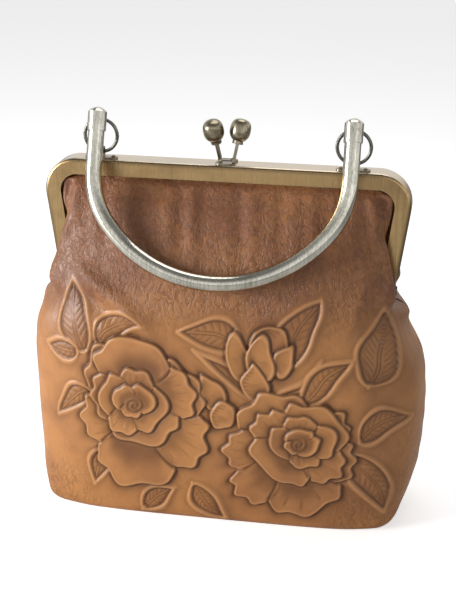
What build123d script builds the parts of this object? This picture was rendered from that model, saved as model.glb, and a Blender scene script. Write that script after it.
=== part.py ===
from build123d import *
import os
from math import asin, atan, cos, radians, sin, sqrt, tan

os.makedirs("parts", exist_ok=True)

# Kiss-lock frame bag, in millimetres. X runs across the bag, Y from front to back, Z up.
# The origin is on the floor, under the middle of the base; the front faces -Y.

# Overall sizes
bag_height = 217.0
belly_length = 248.0
belly_depth = 98.0
overrun = 5.0

# Metal frame: two channels, hinged where their sides end
frame_width = 225.0
frame_drop = 73.0
frame_lean = 7.5
frame_corner = 20.0
frame_edge_round = 1.8
channel_depth = 8.0
channel_face = 9.6
sheet_gauge = 1.0

# Hinge ears and their pins
ear_radius = 4.2
ear_gauge = 1.2
ear_gap = 0.2
ear_rise = 9.0
ear_seat = 2.0
ear_foot_shares = (0.9, 0.45)
pin_radius = 1.5
pin_head_radius = 2.6
pin_head_height = 0.8
pin_clearance = 0.05
head_clearance = 0.1

# Leather and lining
hide = 1.6
lining_gauge = 0.6
seam_gap = 0.15
tuck = 1.0
mouth_gap = 0.9
throat_gap = 2.5
throat_share = 0.35
puff = 17.0
lip_width = 5.0
base_gauge = 1.6
base_gap = 0.5

# Tooling pressed into the front
tool_step = 0.3
tool_seat = 0.5
rose_radius = 41.0

# String pressed into each channel behind the leather's edge
string_gap = 0.3
string_width = 5.0

# Kiss-lock clasp
clasp_plate_length = 12.0
clasp_plate_width = 5.5
clasp_plate_gauge = 1.2
arm_width = 4.6
arm_gauge = 1.4
bead_radius = 6.1
bead_height = 13.4
bead_rise = 19.5
bead_spread = 7.6
bead_lean = 6.2
bead_seat_radius = 2.6
bead_waist_share = 0.55
bead_flare_shares = (1, 0.6)
collar_radius = 3.2
collar_height = 1.6

# Rings and their lugs
ring_wire = 2.8
ring_outer = 22.4
ring_inset = 37.5
wire_sides = 10
lug_length = 20.0
lug_width = 5.0
lug_gauge = 1.2
eye_gauge = 3.0
eye_radius = 3.3
eye_clearance = 0.35
eye_rise = 4.2

# Rivets that hold the lugs and the clasp
rivet_head_radius = 1.5
rivet_head_height = 0.9
rivet_shank_radius = 0.8
rivet_spread_share = 0.72

# Handle
tube_diameter = 9.6
handle_drop = 93.0
handle_rise = 62.0
side_bend = 50.0
cap_diameter = 11.0
cap_length = 11.0
cap_rise = 5.8
cap_dome = 3.0
cap_end_gauge = 1.2
cap_clearance = 0.05
ear_reach = 7.5
handle_clearance = 0.3

# Places that follow from the sizes above
hinge_z = bag_height - frame_drop
foot_z = hinge_z + ear_rise
flange_z = bag_height - channel_face
half_width = belly_length / 2
half_depth = belly_depth / 2
half_span = frame_width / 2 - ring_inset
wire_radius = ring_wire / 2
ring_radius = (ring_outer - ring_wire) / 2
tube_radius = tube_diameter / 2
channel_middle = -channel_depth / 2
lug_eye_z = bag_height + eye_rise
handle_eye_z = lug_eye_z + 2 * ring_radius


def frame_x(z, inset):
    """Half width of the frame at a height, measured in from its outer edge."""
    lean = radians(frame_lean)
    corner_z = bag_height - frame_corner
    level = min(z, corner_z)
    x = frame_width / 2 - (bag_height - level) * tan(lean) - inset / cos(lean)
    radius = frame_corner - inset
    return x - radius + sqrt(max(radius**2 - (z - level) ** 2, 0))


def frame_face(inset, foot):
    """Sketch face of the frame's front view, drawn in by an inset."""
    lean = radians(frame_lean)
    top = bag_height - inset
    top_x = frame_width / 2 - inset * tan(lean) - inset / cos(lean)
    foot_x = frame_width / 2 - (bag_height - foot) * tan(lean) - inset / cos(lean)
    with BuildSketch() as outline:
        with BuildLine():
            Polyline((-foot_x, foot), (-top_x, top), (top_x, top), (foot_x, foot), close=True)
        make_face()
        fillet(outline.vertices().group_by(Axis.Y)[-1], radius=frame_corner - inset)
    return outline.sketch


rivet_places = [
    (side * half_span + end * rivet_spread_share * lug_length / 2, channel_middle)
    for side in (-1, 1)
    for end in (-1, 1)
]
clasp_places = [(-side * clasp_plate_length / 4, side * channel_middle) for side in (1, -1)]


def frame_half(back, ear_start, holes):
    """One channel of the frame, with its hinge ears; back is 1 for the rear half."""
    face_plane = Plane.XZ if back < 0 else Plane.XZ.offset(-channel_depth)
    pocket_plane = face_plane.offset(sheet_gauge)
    with BuildPart() as half:
        with BuildSketch(face_plane):
            add(frame_face(0, foot_z))
        extrude(amount=channel_depth)
        rim = half.faces().sort_by(Axis.Y)[0 if back < 0 else -1].edges().sort_by(Axis.Z)[1:]
        fillet(rim, radius=frame_edge_round)
        with BuildSketch(face_plane):
            add(frame_face(channel_face, foot_z - overrun))
        extrude(amount=channel_depth, mode=Mode.SUBTRACT)
        with BuildSketch(pocket_plane):
            add(frame_face(sheet_gauge, foot_z - overrun))
        extrude(amount=channel_depth - 2 * sheet_gauge, mode=Mode.SUBTRACT)
        for side in (-1, 1):
            with BuildSketch(Plane.YZ.offset(side * ear_start)):
                with Locations((0, hinge_z)):
                    Circle(ear_radius)
                outer, inner = (back * share * channel_depth for share in ear_foot_shares)
                with BuildLine():
                    Polyline(
                        (outer, foot_z),
                        (outer, foot_z + ear_seat),
                        (inner, foot_z + ear_seat),
                        (inner, foot_z),
                        close=True,
                    )
                make_hull()
                with Locations((0, hinge_z)):
                    Circle(pin_radius + pin_clearance, mode=Mode.SUBTRACT)
            extrude(amount=side * ear_gauge)
        with BuildSketch(Plane.XY.offset(bag_height - sheet_gauge)):
            with Locations(*holes):
                Circle(rivet_shank_radius + pin_clearance)
        extrude(amount=sheet_gauge, mode=Mode.SUBTRACT)
    return half.part


# The ears lie side by side on the pins, the rear pair inside the front pair
front_ear_x = frame_x(hinge_z, 0) - ear_gauge
rear_ear_x = front_ear_x - ear_gap - ear_gauge

front_frame = frame_half(-1, front_ear_x, rivet_places + clasp_places[:1])
front_frame.label = "front_frame"
export_step(front_frame, "parts/front_frame.step")

rear_frame = frame_half(1, rear_ear_x, clasp_places[1:])
rear_frame.label = "rear_frame"
export_step(rear_frame, "parts/rear_frame.step")

# Hinge pins, headed at both ends
for side, name in ((-1, "left"), (1, "right")):
    inner_x = rear_ear_x - head_clearance - pin_head_height
    outer_x = front_ear_x + ear_gauge + head_clearance
    with BuildPart() as hinge_pin:
        with BuildSketch(Plane.YZ.offset(side * inner_x)):
            with Locations((0, hinge_z)):
                Circle(pin_radius)
        extrude(amount=side * (outer_x + pin_head_height - inner_x))
        for head_x in (inner_x, outer_x):
            with BuildSketch(Plane.YZ.offset(side * head_x)):
                with Locations((0, hinge_z)):
                    Circle(pin_head_radius)
            extrude(amount=side * pin_head_height)
    hinge_pin.part.label = f"hinge_pin_{name}"
    export_step(hinge_pin.part, f"parts/hinge_pin_{name}.step")

# String in each channel, between its web and the leather's edge
for back, name in ((-1, "front"), (1, "rear")):
    string_plane = Plane.XZ if back < 0 else Plane.XZ.offset(-channel_depth)
    string_depth = channel_depth - 2 * sheet_gauge - 2 * string_gap
    string_foot = foot_z + ear_seat + string_gap
    with BuildPart() as string:
        with BuildSketch(string_plane.offset(sheet_gauge + string_gap)):
            add(frame_face(sheet_gauge + string_gap, string_foot))
            add(frame_face(sheet_gauge + string_gap + string_width, string_foot - overrun), mode=Mode.SUBTRACT)
        extrude(amount=string_depth)
    string.part.label = f"channel_string_{name}"
    export_step(string.part, f"parts/channel_string_{name}.step")

# Leather pouch: levels as shares of the hinge's height, the half width and the half depth,
# with the arch's power, the share of the lip turned in at the floor and, near the hinge,
# the share of the way that the side seam opens toward the channel
pouch_shares = (
    (0.0, 0.890, 0.81, 4.6, 1.0, 0),
    (0.018, 0.912, 0.855, 4.5, 0.45, 0),
    (0.05, 0.928, 0.88, 4.3, 0.1, 0),
    (0.12, 0.952, 0.912, 4.0, 0, 0),
    (0.24, 0.982, 0.96, 3.5, 0, 0),
    (0.43, 1.0, 0.99, 3.1, 0, 0),
    (0.62, 0.988, 1.0, 2.9, 0, 0),
    (0.78, 0.945, 0.985, 2.8, 0, 0.02),
    (0.88, 0.900, 0.96, 2.7, 0, 0.08),
    (0.95, 0.855, 0.925, 2.6, 0, 0.3),
)
# Mouth of the pouch: levels as shares of the way from hinge to flange, half depth and puff
mouth_shares = (
    (0.03, 0.875, 0.85, 2.5),
    (0.15, 0.83, 1.0, 2.4),
    (0.30, 0.765, 0.75, 2.4),
    (0.46, 0.665, 0.45, 2.4),
    (0.62, 0.54, 0.25, 2.5),
    (0.77, 0.405, 0.12, 2.6),
    (0.89, 0.275, 0.04, 2.8),
    (0.96, 0.185, 0, 3.0),
    (1.0, 0.125, 0, 3.0),
)
column_shares = (0, 0.2, 0.4, 0.58, 0.74, 0.86, 0.945)


def arch(share, power):
    """Height of a unit arch, from 1 in the middle to 0 at its foot."""
    return (1 - share**power) ** (1 / power)


def seamed_half(across, depth_share, power, seam_share):
    """Right half of a section that ends at the side seam, from the middle out."""
    seam_y = -seam_gap + seam_share * channel_middle
    deep = half_depth * depth_share + seam_y
    columns = column_shares + (1,)
    return [(across * share, seam_y - deep * arch(share, power)) for share in columns]


def mouth_half(z, depth_share, puff_share, power):
    """Right half of a section above the hinge, from the middle out into the channel."""
    across = frame_x(z, channel_face) + puff_share * puff
    deep = half_depth * depth_share + channel_middle
    points = [(across * share, channel_middle - deep * arch(share, power)) for share in column_shares]
    # A puffed section turns back past the flange's edge to the channel's mouth
    throat_x = frame_x(z, channel_face) - mouth_gap - puff_share * throat_gap
    throat_y = channel_middle - min(channel_depth / 2 + hide, deep * throat_share)
    points.append((throat_x, throat_y))
    points.append((throat_x - puff_share * throat_gap, channel_middle))
    return points


def offset_points(points, distance, seamed):
    """Move a section's points toward the inside of the bag; seamed ends move straight in."""
    moved = []
    last = len(points) - 1
    for place, (x, y) in enumerate(points):
        before = points[max(place - 1, 0)]
        after = points[min(place + 1, last)]
        run, rise = after[0] - before[0], after[1] - before[1]
        if seamed and place in (0, last):
            run = 0
        length = sqrt(run**2 + rise**2)
        moved.append((x - distance * rise / length, y + distance * run / length))
    return moved


def whole_section(right):
    """A section from side to side, mirrored from its right half."""
    left = [(-x, y) for x, y in right[:0:-1]]
    return left + right


def pouch_levels():
    """Every section of the pouch, from the floor up: height, points, lip and if its ends are seams."""
    levels = []
    for height_share, width_share, depth_share, power, lip_share, seam_share in pouch_shares:
        right = seamed_half(half_width * width_share, depth_share, power, seam_share)
        levels.append((height_share * hinge_z, whole_section(right), lip_share * lip_width, True))
    for rise_share, depth_share, puff_share, power in mouth_shares:
        z = hinge_z + rise_share * (flange_z - hinge_z)
        levels.append((z, whole_section(mouth_half(z, depth_share, puff_share, power)), 0, False))
    tucked = mouth_half(flange_z + tuck, *mouth_shares[-1][1:])
    levels.append((flange_z + tuck, whole_section(tucked), 0, False))
    return levels


def pouch_shell(levels, near, far):
    """Shell of the front panel between two depths under its outer face."""
    with BuildPart() as shell:
        for z, points, lip, seamed in levels:
            with BuildSketch(Plane.XY.offset(z)):
                with BuildLine():
                    outer = Spline(*offset_points(points, near, seamed))
                    inner = Spline(*offset_points(points, far + lip, seamed))
                    Line(outer @ 0, inner @ 0)
                    Line(outer @ 1, inner @ 1)
                make_face()
        loft()
    return shell.part


levels = pouch_levels()
plain_panel = pouch_shell(levels, 0, hide)

# Tooling on the front panel: leaves and roses that rise in terraces. Places are shares of
# the half width and the hinge's height. A leaf has its foot, its tip and the bulge of its
# two sides as shares of its length.
leaf_shares = (
    (-0.617, 0.757, -0.683, 1.03, 0.24, 0.28),
    (-0.55, 0.81, -0.32, 0.89, 0.42, 0.08),
    (-0.635, 0.75, -0.79, 0.75, 0.28, 0.26),
    (-0.60, 0.555, -0.755, 0.455, 0.26, 0.24),
    (-0.54, 0.31, -0.58, 0.155, 0.26, 0.28),
    (-0.335, 0.05, -0.215, 0.16, 0.28, 0.3),
    (-0.115, 0.175, 0.07, 0.055, 0.22, 0.2),
    (0.135, 0.84, -0.14, 0.87, 0.08, 0.4),
    (0.16, 0.585, -0.06, 0.82, 0.12, 0.1),
    (0.38, 0.79, 0.50, 1.045, 0.22, 0.26),
    (0.20, 0.585, 0.50, 0.79, 0.1, 0.06),
    (0.70, 0.69, 0.755, 0.985, 0.22, 0.3),
    (0.39, 0.605, 0.65, 0.79, 0.22, 0.2),
    (0.675, 0.445, 0.85, 0.515, 0.4, 0.2),
    (0.60, 0.37, 0.80, 0.14, 0.3, 0.22),
    (0.165, 0.58, 0.17, 0.925, 0.2, 0.22),
    (0.21, 0.60, 0.33, 0.93, 0.12, 0.2),
)
rose_place_shares = ((-0.40, 0.54), (0.41, 0.42))
# Each ring of petals: radius, tallness, petals, turn and shift, from the outside in
rose_ring_shares = (
    ((1.0, 1.18, 5, 0.10, 0.12, -0.2), (1.0, 0.98, 6, 0.35, -0.18, -0.25)),
    ((0.79, 1.12, 4, 0.62, 0.1, 0.14), (0.75, 0.92, 4, 0.10, -0.07, -0.05)),
    ((0.55, 0.95, 3, 0.25, -0.05, 0.02), (0.53, 0.80, 4, 0.55, 0.02, 0.02)),
    ((0.32, 0.85, 3, 0.72, -0.02, 0.05), (0.29, 0.80, 3, 0.30, 0.02, 0.02)),
)
cusp_share = 0.8


def leaf_face(foot_x, foot_z, tip_x, tip_z, left_share, right_share):
    """One leaf: two arcs from its foot to its tip."""
    foot = Vector(foot_x * half_width, foot_z * hinge_z)
    tip = Vector(tip_x * half_width, tip_z * hinge_z)
    along = tip - foot
    aside = Vector(-along.Y, along.X)
    middle = (foot + tip) * (1 / 2)
    with BuildSketch() as leaf:
        with BuildLine():
            ThreePointArc(foot, middle + aside * left_share, tip)
            ThreePointArc(tip, middle - aside * right_share, foot)
        make_face()
    return leaf.sketch


def petal_ring(place, radius_share, tall_share, petals, turn_share, shift_x, shift_z):
    """One ring of petals: a scalloped disc with a cusp between each two petals."""
    radius = radius_share * rose_radius
    middle = Vector(place[0] * half_width, place[1] * hinge_z) + Vector(shift_x, shift_z) * rose_radius

    def rim(step, share):
        angle = radians(360 * (turn_share + step) / petals)
        return middle + Vector(cos(angle), sin(angle) * tall_share) * (radius * share)

    with BuildSketch() as ring_face:
        with BuildLine():
            for petal in range(petals):
                ThreePointArc(rim(petal, cusp_share), rim(petal + 1 / 2, 1), rim(petal + 1, cusp_share))
        make_face()
    return ring_face.sketch


def terrace(faces, height):
    """Raised leather under a set of outlines, as high as told over the panel's outer face."""
    with BuildPart() as raised:
        with BuildSketch(Plane.XZ):
            for face in faces:
                add(face)
        extrude(amount=half_depth + overrun)
        add(pouch_shell(levels, -height, tool_seat), mode=Mode.INTERSECT)
    return raised.part


with BuildPart() as front_panel:
    add(plain_panel)
    add(terrace([leaf_face(*shares) for shares in leaf_shares], tool_step))
    for step, rings in enumerate(rose_ring_shares):
        faces = [petal_ring(place, *shares) for place, shares in zip(rose_place_shares, rings)]
        add(terrace(faces, (step + 2) * tool_step))
front_panel.part.label = "front_panel"
export_step(front_panel.part, "parts/front_panel.step")

back_panel = mirror(plain_panel, about=Plane.XZ)
back_panel.label = "back_panel"
export_step(back_panel, "parts/back_panel.step")

# Base, a flat piece inside the turned lip of both panels
lip_points = offset_points(levels[0][1], hide + lip_width + base_gap, True)
with BuildPart() as base_panel:
    with BuildSketch():
        with BuildLine():
            front_rim = Spline(*lip_points)
            rear_rim = Spline(*[(x, -y) for x, y in lip_points])
            Line(front_rim @ 0, rear_rim @ 0)
            Line(front_rim @ 1, rear_rim @ 1)
        make_face()
    extrude(amount=base_gauge)
base_panel.part.label = "base_panel"
export_step(base_panel.part, "parts/base_panel.step")

# Lining, slack inside the leather and hung at the channels: levels as shares of the
# height up to the flange, with width, half depth, arch power and the share of the way
# that its ends open from the side seam toward the channel. Above the hinge the width is
# a share of the channel's mouth, below it of the pouch's half width.
lining_shares = (
    (0.02, 0.85, 0.75, 4.5, 0.12),
    (0.10, 0.885, 0.83, 4.0, 0.12),
    (0.19, 0.91, 0.875, 3.6, 0.12),
    (0.30, 0.925, 0.90, 3.2, 0.12),
    (0.46, 0.91, 0.90, 3.0, 0.12),
    (0.60, 0.81, 0.84, 2.8, 0.14),
    (0.71, 0.87, 0.725, 2.6, 0.3),
    (0.82, 0.885, 0.55, 2.6, 0.4),
    (0.92, 0.88, 0.31, 2.8, 0.4),
    (0.975, 0.862, 0.14, 3.0, 0.4),
    (0.995, 0.87, 0.085, 3.2, 0.4),
)
lining_levels = []
for height_share, width_share, *section_shares in lining_shares:
    z = height_share * flange_z
    across = half_width if z < hinge_z else frame_x(z, channel_face)
    right = seamed_half(across * width_share, *section_shares)
    lining_levels.append((z, whole_section(right), 0, True))
lining_front = pouch_shell(lining_levels, 0, lining_gauge)
lining_front.label = "lining_front"
export_step(lining_front, "parts/lining_front.step")

lining_back = mirror(lining_front, about=Plane.XZ)
lining_back.label = "lining_back"
export_step(lining_back, "parts/lining_back.step")

# Clasp: a plate riveted to each half of the frame, with an arm that leans across the joint.
# The rear one is the front one turned half round.
arm_root = Vector(clasp_plate_length / 2 - arm_gauge, channel_middle, bag_height + clasp_plate_gauge)
bead_middle = Vector(bead_spread, channel_middle + bead_lean, bag_height + bead_rise)
arm_direction = (bead_middle - arm_root).normalized()
arm_plane = Plane(arm_root, x_dir=Vector(0, 1, 0).cross(arm_direction), z_dir=arm_direction)
bead_foot = (bead_middle - arm_root).length - bead_height / 2
arm_length = bead_foot - collar_height

with BuildPart() as clasp_arm:
    with BuildSketch(Plane.XY.offset(bag_height)):
        with Locations((0, channel_middle)):
            SlotOverall(clasp_plate_length, clasp_plate_width)
        with Locations(clasp_places[0]):
            Circle(rivet_shank_radius + pin_clearance, mode=Mode.SUBTRACT)
    extrude(amount=clasp_plate_gauge)
    with BuildSketch(arm_plane):
        Rectangle(arm_gauge, arm_width)
    extrude(amount=arm_length)
    with BuildSketch(arm_plane.offset(arm_length)):
        Circle(collar_radius)
    extrude(amount=collar_height)

with BuildPart() as clasp_bead:
    foot_point = arm_root + arm_direction * bead_foot
    with BuildSketch(Plane(foot_point, x_dir=arm_plane.x_dir, z_dir=-arm_plane.y_dir)):
        with BuildLine():
            foot_line = Line((0, 0), (bead_seat_radius, 0))
            side_line = Spline(
                foot_line @ 1,
                (bead_radius, bead_height * bead_waist_share),
                (0, bead_height),
                tangents=(bead_flare_shares, (-1, 0)),
            )
            Line(side_line @ 1, (0, 0))
        make_face()
    revolve(axis=Axis(bead_middle, arm_direction))

half_turn = Rotation(0, 0, 180)
for name, turn in (("front", Location()), ("rear", half_turn)):
    arm = turn * clasp_arm.part
    arm.label = f"clasp_arm_{name}"
    export_step(arm, f"parts/clasp_arm_{name}.step")
    bead = turn * clasp_bead.part
    bead.label = f"clasp_bead_{name}"
    export_step(bead, f"parts/clasp_bead_{name}.step")


def rivet(plate_gauge):
    """Domed rivet through a plate and the frame's top, standing on the origin."""
    depth = plate_gauge + sheet_gauge
    with BuildPart() as solid:
        with BuildSketch(Plane.XZ):
            with BuildLine():
                Polyline(
                    (0, rivet_head_height),
                    (rivet_shank_radius, rivet_head_height),
                    (rivet_head_radius, 0),
                    (rivet_shank_radius, 0),
                    (rivet_shank_radius, -depth),
                    (0, -depth),
                    close=True,
                )
            make_face()
        revolve(axis=Axis.Z)
    return Pos(0, 0, bag_height + plate_gauge) * solid.part


for name, place in zip(("front", "rear"), clasp_places):
    clasp_rivet = Pos(*place) * rivet(clasp_plate_gauge)
    clasp_rivet.label = f"clasp_rivet_{name}"
    export_step(clasp_rivet, f"parts/clasp_rivet_{name}.step")

with BuildPart() as lug_rivets:
    for place in rivet_places:
        add(Pos(*place) * rivet(lug_gauge))
lug_rivets.part.label = "lug_rivets"
export_step(lug_rivets.part, "parts/lug_rivets.step")

# Lugs on the front half of the frame, and the rings that stand in their eyes
for side, name in ((-1, "left"), (1, "right")):
    lug_x = side * half_span
    with BuildPart() as ring_lug:
        with BuildSketch(Plane.XY.offset(bag_height)):
            with Locations((lug_x, channel_middle)):
                SlotOverall(lug_length, lug_width)
            with Locations(*rivet_places):
                Circle(rivet_shank_radius + pin_clearance, mode=Mode.SUBTRACT)
        extrude(amount=lug_gauge)
        with BuildSketch(Plane.YZ.offset(lug_x - eye_gauge / 2)):
            with Locations((channel_middle, lug_eye_z)):
                Circle(eye_radius)
            with Locations((channel_middle, bag_height + lug_gauge)):
                Rectangle(lug_width, lug_gauge)
            make_hull()
            with Locations((channel_middle, lug_eye_z)):
                Circle(wire_radius + eye_clearance, mode=Mode.SUBTRACT)
        extrude(amount=eye_gauge)
    ring_lug.part.label = f"ring_lug_{name}"
    export_step(ring_lug.part, f"parts/ring_lug_{name}.step")

    with BuildPart() as ring:
        with BuildSketch(Plane.YZ.offset(lug_x)):
            with Locations((channel_middle, handle_eye_z)):
                RegularPolygon(wire_radius, wire_sides)
        revolve(axis=Axis((lug_x, channel_middle, lug_eye_z + ring_radius), (0, 1, 0)))
    ring.part.label = f"ring_{name}"
    export_step(ring.part, f"parts/ring_{name}.step")

# Handle: it hangs from the rings and leans on the pouch, just clear of the leather
rest_depth = half_depth * mouth_shares[1][1] + tube_radius + handle_clearance + channel_middle
handle_lean = asin(rest_depth / sqrt(handle_drop**2 + ear_reach**2)) - atan(ear_reach / handle_drop)
handle_up = Vector(0, sin(handle_lean), cos(handle_lean))
handle_front = Vector(0, -cos(handle_lean), sin(handle_lean))
eye_plane = Plane((0, channel_middle, handle_eye_z), x_dir=(1, 0, 0), z_dir=handle_front)
tube_plane = eye_plane.offset(ear_reach)
tube_end = cap_rise - cap_dome - cap_end_gauge
leg_foot = handle_rise - handle_drop
bend_run = half_span - side_bend
bottom_bend = (bend_run**2 + handle_rise**2 - side_bend**2) / (2 * (handle_rise - side_bend))
bottom_middle = Vector(0, bottom_bend - handle_drop)
bend_middle = Vector(bend_run, leg_foot)
bend_out = (bend_middle - bottom_middle).normalized()
bend_joint = bend_middle + bend_out * side_bend
bend_waist = bend_middle + (bend_out + Vector(1, 0)).normalized() * side_bend

with BuildPart() as handle_tube:
    with BuildLine(tube_plane) as tube_path:
        Line((-half_span, tube_end), (-half_span, leg_foot))
        ThreePointArc(
            (-half_span, leg_foot), (-bend_waist.X, bend_waist.Y), (-bend_joint.X, bend_joint.Y)
        )
        ThreePointArc(
            (-bend_joint.X, bend_joint.Y), (0, -handle_drop), (bend_joint.X, bend_joint.Y)
        )
        ThreePointArc((bend_joint.X, bend_joint.Y), (bend_waist.X, bend_waist.Y), (half_span, leg_foot))
        Line((half_span, leg_foot), (half_span, tube_end))
    tube_start = Plane(tube_path.wire() @ 0, z_dir=tube_path.wire() % 0)
    with BuildSketch(tube_start):
        Circle(tube_radius)
    sweep(path=tube_path.wire())
handle_tube.part.label = "handle_tube"
export_step(handle_tube.part, "parts/handle_tube.step")

# Domed caps on the tube's ends, each with an ear for its ring
for side, name in ((-1, "left"), (1, "right")):
    cap_x = side * half_span
    cap_radius = cap_diameter / 2
    rim = cap_rise - cap_dome - cap_length
    leg_point = tube_plane.from_local_coords(Vector(cap_x, 0))
    leg_plane = Plane(leg_point, x_dir=(1, 0, 0), z_dir=handle_front)
    with BuildPart() as handle_cap:
        with BuildSketch(leg_plane):
            with BuildLine():
                dome = TangentArc((0, cap_rise), (cap_radius, cap_rise - cap_dome), tangent=(1, 0))
                Polyline(dome @ 1, (cap_radius, rim), (0, rim), dome @ 0)
            make_face()
        revolve(axis=Axis(leg_point, handle_up))
        eye_point = eye_plane.from_local_coords(Vector(cap_x, 0))
        with BuildSketch(Plane(eye_point - Vector(eye_gauge / 2, 0), x_dir=handle_front, z_dir=(1, 0, 0))):
            Circle(eye_radius)
            with Locations((ear_reach - tube_radius, 0)):
                Rectangle(cap_end_gauge, 2 * eye_radius)
            make_hull()
            Circle(wire_radius + eye_clearance, mode=Mode.SUBTRACT)
        extrude(amount=eye_gauge)
        with BuildSketch(Plane(leg_point + handle_up * rim, x_dir=(1, 0, 0), z_dir=handle_up)):
            Circle(tube_radius + cap_clearance)
        extrude(amount=tube_end - rim, mode=Mode.SUBTRACT)
    handle_cap.part.label = f"handle_cap_{name}"
    export_step(handle_cap.part, f"parts/handle_cap_{name}.step")
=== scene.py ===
import bpy
import numpy as np
from math import atan2, cos, pi, radians, sin, sqrt, tan
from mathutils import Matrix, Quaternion, Vector


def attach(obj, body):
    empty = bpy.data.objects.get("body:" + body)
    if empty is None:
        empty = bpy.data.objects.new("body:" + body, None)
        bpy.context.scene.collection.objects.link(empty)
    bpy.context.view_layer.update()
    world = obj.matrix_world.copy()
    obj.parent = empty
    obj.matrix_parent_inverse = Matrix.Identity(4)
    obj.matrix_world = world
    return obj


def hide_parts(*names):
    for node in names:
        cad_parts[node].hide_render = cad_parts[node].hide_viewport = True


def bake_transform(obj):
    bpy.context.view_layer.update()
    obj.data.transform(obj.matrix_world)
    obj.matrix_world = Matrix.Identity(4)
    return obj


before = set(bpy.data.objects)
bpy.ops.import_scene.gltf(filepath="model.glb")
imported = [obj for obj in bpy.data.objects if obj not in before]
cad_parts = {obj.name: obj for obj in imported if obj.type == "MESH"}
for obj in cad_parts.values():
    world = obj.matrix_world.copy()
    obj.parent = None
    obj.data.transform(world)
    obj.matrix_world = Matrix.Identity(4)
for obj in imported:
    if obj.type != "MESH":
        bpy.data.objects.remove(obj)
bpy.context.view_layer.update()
bpy.ops.object.select_all(action="DESELECT")
print("frame loaded,", len(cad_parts), "nodes")

millimetre = 0.001


# small helpers that wire shader nodes
def newFinish(name):
    finish = bpy.data.materials.new(name)
    finish.use_nodes = True
    tree = finish.node_tree
    return finish, tree, tree.nodes["Principled BSDF"]


def feed(tree, plug, value):
    # another node's output is linked, a plain value is set
    if hasattr(value, "is_output"):
        tree.links.new(value, plug)
    elif plug.type == "RGBA":
        plug.default_value = (*value, 1.0)
    else:
        plug.default_value = value


def feedAll(tree, node, values):
    for plug, value in zip(node.inputs, values):
        feed(tree, plug, value)
    return node.outputs[0]


def addNode(tree, kind, **settings):
    node = tree.nodes.new(kind)
    for key, value in settings.items():
        if key in node.inputs.keys():
            feed(tree, node.inputs[key], value)
        else:
            setattr(node, key, value)
    return node


def objectPlace(tree):
    return addNode(tree, "ShaderNodeTexCoord").outputs["Object"]


def scaled(tree, place, sizes):
    return addNode(tree, "ShaderNodeMapping", Vector=place, Scale=sizes).outputs["Vector"]


def attribute(tree, name):
    return addNode(tree, "ShaderNodeAttribute", attribute_name=name).outputs["Fac"]


def noiseOf(tree, place, scale, detail, rough):
    return addNode(tree, "ShaderNodeTexNoise", Vector=place, Scale=scale, Detail=detail, Roughness=rough).outputs["Fac"]


def ramp(tree, factor, low, high, lowValue=0.0, highValue=1.0):
    node = addNode(tree, "ShaderNodeMapRange", interpolation_type="SMOOTHSTEP", Value=factor)
    for plug, value in (("From Min", low), ("From Max", high), ("To Min", lowValue), ("To Max", highValue)):
        node.inputs[plug].default_value = value
    return node.outputs["Result"]


def mixColour(tree, factor, first, second):
    node = addNode(tree, "ShaderNodeMix", data_type="RGBA", clamp_factor=True)
    for plug, value in ((0, factor), (6, first), (7, second)):  # the node's colour plugs are its seventh and eighth
        feed(tree, node.inputs[plug], value)
    return node.outputs[2]


def sums(tree, way, first, second):
    return feedAll(tree, addNode(tree, "ShaderNodeMath", operation=way), (first, second))


def bumpOf(tree, height, strength, distance, under=None):
    node = addNode(tree, "ShaderNodeBump", Strength=strength, Distance=distance, Height=height)
    if under is not None:
        feed(tree, node.inputs["Normal"], under)
    return node.outputs["Normal"]


# leather: tan on the belly, darker brown under the frame as painted shade, antique dye and painted shade in the pressed
# lines
leatherLook = {
    "tan": (0.53, 0.235, 0.078),
    "brown": (0.250, 0.098, 0.042),
    "antique": (0.062, 0.021, 0.008),
    "worn": (0.66, 0.34, 0.150),
    # scale and roughness of the two noises, and the one that bends the lines
    "cloud": (18.0, 0.6), "patch": (95.0, 0.65), "warp": 70.0, "warpReach": (0.009, 0.009, 0.009),
    # cells of each kind of line per metre, and the share of a cell that its line takes
    "pebbleSize": (900, 900, 640), "pebbleLine": 0.30,
    "creaseSize": (300, 300, 150), "creaseLine": 0.10,
    "foldSize": (120, 120, 55), "foldLine": 0.06,
    "wrinkleSize": (430, 430, 230),
    # where in its noise each kind of line shows, and how strongly
    "wrinkleRange": (0.34, 0.58), "wrinkleShare": 0.70,
    "creaseRange": (0.42, 0.64), "creaseShare": 0.75,
    "foldRange": (0.45, 0.60), "foldShare": 0.35,
    # the tan turns brown between two heights in metres as painted shade under the frame, and in clouds of the leather's
    # own uneven tone
    "paintedShadeHeights": (0.115, 0.160), "paintedShadeShare": 0.70,
    "cloudRange": (0.40, 0.70), "cloudShare": 0.60,
    "wornRange": (0.52, 0.80), "wornShare": 0.22,
    "recessShare": 0.94, "raisedShare": 0.50, "lineShare": 0.54,
    "glossRange": (0.3, 0.75), "roughness": (0.32, 0.50), "specular": 0.36, "coat": 0.06, "coatRoughness": 0.24,
    # strength and depth of the bumps
    "pebbleBump": (0.16, 0.0003), "lineBump": (0.62, 0.0007),
}


def cellLines(tree, place, sizes, width):
    # thin dark lines between stretched cells
    cells = addNode(tree, "ShaderNodeTexVoronoi", Vector=scaled(tree, place, sizes), Scale=1.0,
                    feature="DISTANCE_TO_EDGE")
    return ramp(tree, cells.outputs["Distance"], 0.0, width, 1.0, 0.0)


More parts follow.
